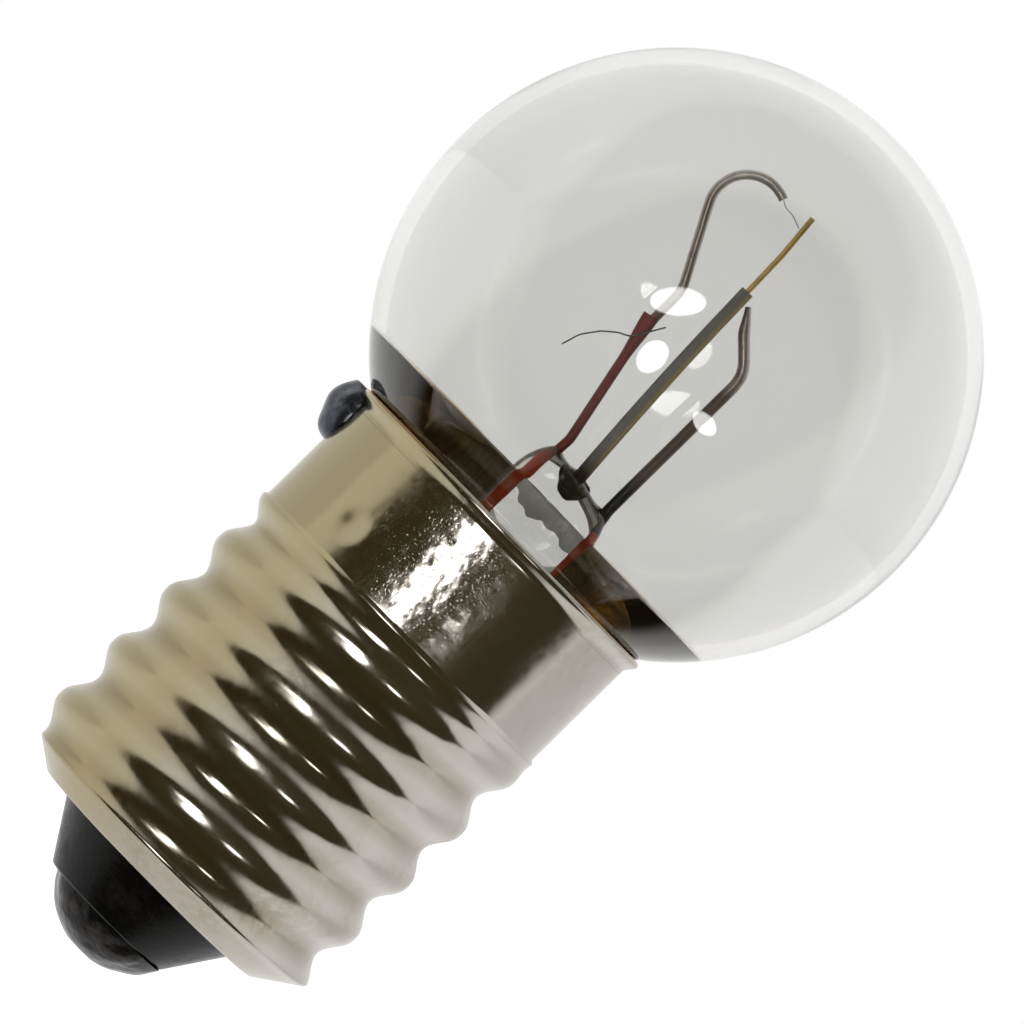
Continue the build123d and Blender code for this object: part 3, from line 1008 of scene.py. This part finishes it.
lead_diameter = 0.25
under_seal = seal_z - 1.0
riser_x = -(neck_radius + bore_radius) / 2
left_lead = wire(
    "left_lead_wire",
    [
        Vector((-collar_radius - 0.39, 0, side_solder_z)),
        Vector((riser_x, 0, side_solder_z)),
        Vector((riser_x, 0, under_seal + lead_diameter)),
        Vector((-0.88, 0, under_seal)),
        on_mount(-0.36, 0.55),
        on_mount(-1.11, 4.08),
    ],
    lead_diameter,
    red_glaze,
    flat_length=1.35,
    flat_depth=0.16,
    flat_height=0.42,
)
stands_for(left_lead, "left_lead")
right_lead = wire(
    "right_lead_wire",
    [Vector((0, 0, 0.5)), Vector((0, 0, 4.72)), Vector((1.85, 0, under_seal)), on_mount(1.64, -0.65)],
    lead_diameter,
    red_glaze,
)
stands_for(right_lead, "right_lead")

# %% [markdown]
# ## Hook and contact wire
# The hook is bright nickel wire, browned where it was welded to the lead's beaten end. The contact wire is
# blue-black from the flame near the bead, brown further up and bare metal at its bend and tip.

# %% Hook and contact wire
hook_metal, tree, shader = new_material("hook_nickel", Metallic=1.0)
drawn = tarnish(tree, 1800.0, 9000.0, 41.0)
metal = mix(above_bead(tree, 4.0, 5.6), (0.22, 0.13, 0.08), (0.50, 0.47, 0.43))
colour(shader, stain_or_shade(drawn["Mask"], 0.6, metal, (0.16, 0.12, 0.09)))
roughen(shader, drawn["Fine"], 0.25, 0.2)

hook_depth, hook_diameter = 0.225, 0.25
hook_points = ((-1.02, 3.80), (-1.02, 5.05), (-2.29, 7.40), (-1.85, 8.78), (-0.87, 8.38))
hook_route = [on_mount(x, rise, hook_depth) for x, rise in hook_points]
hook = wire("hook_wire", hook_route, hook_diameter, hook_metal, bend=1.0)
stands_for(hook, "hook_support")

contact_metal, tree, shader = new_material("heated_wire", Metallic=0.9)
scale = tarnish(tree, 2000.0, 9000.0, 47.0)
metal = mix(above_bead(tree, 0.6, 1.6), (0.030, 0.034, 0.050), (0.11, 0.075, 0.05))
metal = mix(above_bead(tree, 4.0, 4.9), metal, (0.58, 0.54, 0.49))
colour(shader, stain_or_shade(scale["Mask"], 0.5, metal, (0.07, 0.05, 0.04)))
roughen(shader, scale["Fine"], 0.3, 0.2)

contact_diameter = 0.30
contact_points = ((1.64, -0.64), (1.54, 0), (1.53, 4.65), (0.80, 5.36), (0.40, 5.92))
contact_wire = wire(
    "contact_bent_wire",
    [on_mount(x, rise) for x, rise in contact_points],
    contact_diameter,
    contact_metal,
    bend=0.9,
    flat_length=0.7,
    flat_depth=0.34,
    flat_height=0.16,
)
stands_for(contact_wire, "contact_wire")

# %% [markdown]
# ## The bimetal blade
# Two metals rolled together into one strip: the side towards the contact expands more, so heat bends the
# blade away. From the edge both are seen, grey on the left and golden on the right. The strip is built as
# a row of sections along its arc, and an attribute runs across its thickness for the material to split on.

# %% Bimetal
bimetal, tree, shader = new_material("bimetal_strip", Metallic=1.0)
in_strip = node(tree, "ShaderNodeAttribute", attribute_name="layer").outputs["Fac"]
rolled = tarnish(tree, 1600.0, 8000.0, 52.0)
sides = mix(between(in_strip, 0.62, 0.82), (0.13, 0.125, 0.115), (0.26, 0.20, 0.08))
strip = mix(above_bead(tree, 0.1, 1.3), (0.025, 0.022, 0.02), sides)
colour(shader, stain_or_shade(rolled["Mask"], 0.5, strip, (0.14, 0.12, 0.09)))
roughen(shader, rolled["Fine"], 0.3, 0.22)
bump(shader, rolled["Fine"], 0.01)


# %% Blade
def circle_through(a, b, c):
    """Centre of the circle through three points of the XZ plane."""
    ab, ac = b - a, c - a
    d = 2 * (ab.x * ac.z - ab.z * ac.x)
    x = (ac.z * ab.length_squared - ab.z * ac.length_squared) / d
    z = (ab.x * ac.length_squared - ac.x * ab.length_squared) / d
    return a + Vector((x, 0, z))


blade_thickness, blade_width, blade_rise = 0.34, 0.80, 6.15
edge_soft, blade_steps = 0.05, 40
blade_root, blade_top = on_mount(0.52, -0.5), on_mount(0.12, blade_rise)
bow_centre = circle_through(blade_root, on_mount(0.28, blade_rise * 0.43), blade_top)
bow_radius = (blade_top - bow_centre).length
half_t, half_w = blade_thickness / 2, blade_width / 2
flat_t, flat_w = half_t - edge_soft, half_w - edge_soft
section = (
    (-flat_t, -half_w), (0, -half_w), (flat_t, -half_w), (half_t, -flat_w), (half_t, flat_w),
    (flat_t, half_w), (0, half_w), (-flat_t, half_w), (-half_t, flat_w), (-half_t, -flat_w),
)
blade_shape = bmesh.new()
layer = blade_shape.verts.layers.float.new("layer")
blade_rings = []
for step in range(blade_steps + 1):
    outward = (blade_root.lerp(blade_top, step / blade_steps) - bow_centre).normalized()
    centre = bow_centre + outward * bow_radius
    golden = outward if outward.x > 0 else -outward
    blade_rings.append([])
    for t, w in section:
        vert = blade_shape.verts.new((centre + golden * t + Vector((0, w, 0))) * mm)
        vert[layer] = t / blade_thickness + 0.5
        blade_rings[-1].append(vert)
for low, high in zip(blade_rings, blade_rings[1:]):
    for i in range(len(section)):
        j = (i + 1) % len(section)
        blade_shape.faces.new((low[i], low[j], high[j], high[i]))
blade_shape.faces.new(blade_rings[0])
blade_shape.faces.new(blade_rings[-1])
bmesh.ops.recalc_face_normals(blade_shape, faces=blade_shape.faces)
blade = piece("blade_strip", [blade_shape], bimetal, sharp=30)
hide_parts("bimetal_blade")
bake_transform(blade)

# %% [markdown]
# ## Post and filament
# A thin yellow post on the blade's top holds one end of the filament, and the hook holds the other. The
# filament is tungsten wire, finer than a hair, wound in a coil. A Geometry Nodes tree winds it: it samples
# the route and sets each point of a line round it, by as many turns as asked.

# %% Post
post_diameter, post_length, post_bow = 0.15, 2.40, 0.0375
post_top = on_mount(-0.04, blade_rise + post_length)
post_middle = (blade_top + post_top) / 2 + Vector((post_bow, 0, 0))
post = wire("brass_post", [blade_top, post_middle, post_top], post_diameter, plain_brass, bend=2.0)
stands_for(post, "filament_post", "blade")


# %% Filament winding tree
def make_filament_winding():
    sizes = ("Coil diameter", "Wire diameter", "Turns")
    tree, given, out = shape_tree("Wind filament", "Route", sizes, "Metal", "Coil")
    route = rounded_route(tree, given["Route"], 1 * mm, 8)
    line = first(tree, "GeometryNodeCurvePrimitiveLine")
    points = times(given["Turns"], 10.0)
    line = first(tree, "GeometryNodeResampleCurve", {"Curve": line, "Count": points}, mode="COUNT")
    along = node(tree, "GeometryNodeSplineParameter").outputs["Factor"]
    sample = node(tree, "GeometryNodeSampleCurve", {"Curves": route, "Factor": along}, mode="FACTOR").outputs
    angle = times(times(along, given["Turns"]), 2 * pi)
    binormal = vector_math("CROSS_PRODUCT", sample["Tangent"], sample["Normal"])
    room_for_wire = minus(given["Coil diameter"], given["Wire diameter"])
    coil_radius = times(room_for_wire, 0.5)
    spot = sample["Position"]
    for wave, sideways in (("COSINE", sample["Normal"]), ("SINE", binormal)):
        amount = times(math(wave, angle), coil_radius)
        push = first(tree, "ShaderNodeVectorMath", {0: sideways, "Scale": amount}, operation="SCALE")
        spot = vector_math("ADD", spot, push)
    wound = first(tree, "GeometryNodeSetPosition", {"Geometry": line, "Position": spot})
    drawn = swept(tree, wound, given["Wire diameter"], 6)
    hand_over(tree, drawn, given["Metal"], out["Coil"])
    return tree


# %% Filament
tungsten, tree, shader = new_material("tungsten", Metallic=1.0, Roughness=0.35)
grain = tarnish(tree, 4000.0, 20000.0, 61.0)
colour(shader, mix(grain["Fine"], (0.06, 0.055, 0.05), (0.20, 0.19, 0.18)))

filament_diameter = 0.036
hook_end = hook_route[-1]
post_side = post_top - Vector((post_diameter / 2 + 0.04, 0, 0.42))
span = post_side - hook_end
filament_route = [
    hook_end + span * 0.03,
    hook_end + span * 0.20 - Vector((0, 0, filament_diameter * 2)),
    hook_end + span * 0.58 + Vector((0, 0, filament_diameter)),
    post_side + Vector((0.06, 0, 0)),
]
filament = run_tree(
    route_object("filament_coil", filament_route),
    make_filament_winding(),
    Coil_diameter=filament_diameter * mm,
    Wire_diameter=0.012 * mm,
    Turns=34.0,
    Metal=tungsten,
)
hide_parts("filament")
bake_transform(filament)

# %% [markdown]
# ## The bead
# The wires are held by a bead of glass that was melted round them. It is a rounded block with a sloping
# top, and the glass has climbed a little up each wire. The wires run on inside it, so the bead is one
# closed form without holes: where glass touches the red glaze there is no air, and the colour glows. Where
# the blade enters sits a small dark lump, which is a small piece of the scene alone.

# %% Bead glass
bead_glass, tree, shader = new_material(
    "bead_glass", Base_Color=(0.93, 0.93, 0.91, 1), Roughness=0.02, IOR=1.5, Transmission_Weight=1.0
)
bump(shader, waves(tree, 1500.0, 5.0), 0.03)

# %% Bead
bead_low, bead_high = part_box("bead")
bead_centre = (bead_low + bead_high) / 2 / mm
bead_half = (bead_high - bead_low) / 2 / mm
bead_slope = tan(radians(9))
climb_height, climb_reach, climb_room = 0.16, 0.24, 0.1
wire_feet = (Vector((-0.44, 0)), Vector((1.55, 0)), Vector((0.5, 0)))


def blocky(value, power=0.55):
    """Sine or cosine pulled towards a block's straight sides."""
    return abs(value) ** power * (1 if value > 0 else -1)


def lumpy(shape, size, depth, seed):
    """Push a shape's points along their normals by slow noise; sizes are in millimetres."""
    shape.normal_update()
    for vert in shape.verts:
        vert.co += vert.normal * noise.noise(vert.co / (size * mm) + Vector((seed, 0, 0))) * depth * mm
    return shape


bead_shape = bmesh.new()
bmesh.ops.create_uvsphere(bead_shape, u_segments=96, v_segments=64, radius=1)
for vert in bead_shape.verts:
    around = atan2(vert.co.y, vert.co.x)
    rise = blocky(vert.co.z)
    girth = blocky(hypot(vert.co.x, vert.co.y))
    x = bead_half.x * girth * blocky(cos(around), 0.7)
    y = bead_half.y * girth * blocky(sin(around), 0.85)
    z = (bead_half.z - climb_room) * rise
    if rise > 0:
        z -= bead_slope * x * rise
        spot = Vector((x + bead_centre.x, y))
        near = [exp(-(((spot - foot).length / climb_reach) ** 2)) for foot in wire_feet]
        z += rise * sum(climb_height * share for share in near)
    vert.co = (Vector((x, y, z)) + bead_centre) * mm
bead = piece("glass_bead", [lumpy(bead_shape, 0.9, 0.05, 7)], bead_glass, sharp=180)
stands_for(bead, "bead")

# %% Dark root lump
lump_half, lump_centre = (0.38, 0.44, 0.32), on_mount(0.52, -0.2)
root_lump = bmesh.new()
bmesh.ops.create_icosphere(root_lump, subdivisions=4, radius=1)
for vert in root_lump.verts:
    flattened = Vector([at * half for at, half in zip(vert.co, lump_half)])
    vert.co = (flattened + lump_centre) * mm
burnt_root = piece("burnt_root", [lumpy(root_lump, 0.28, 0.24, 4)], contact_metal, sharp=180)
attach(burnt_root, "lamp")

# %% [markdown]
# ## A stray fine wire
# A loose end of very fine wire curls from the left lead, left over from the assembly. It is far too thin
# for the CAD model, so it is only a piece of the scene.

# %% Stray wire
stray_depth, stray_diameter = -0.12, 0.04
stray_points = (
    (-2.15, 2.04), (-2.01, 2.52), (-1.71, 2.94), (-1.38, 3.22), (-1.08, 3.36), (-0.83, 3.83), (-0.66, 4.13)
)
stray_route = [on_mount(x, rise, stray_depth) for x, rise in stray_points]
stray = wire("stray_wire", stray_route, stray_diameter, tungsten, bend=0.5)
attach(stray, "lamp")
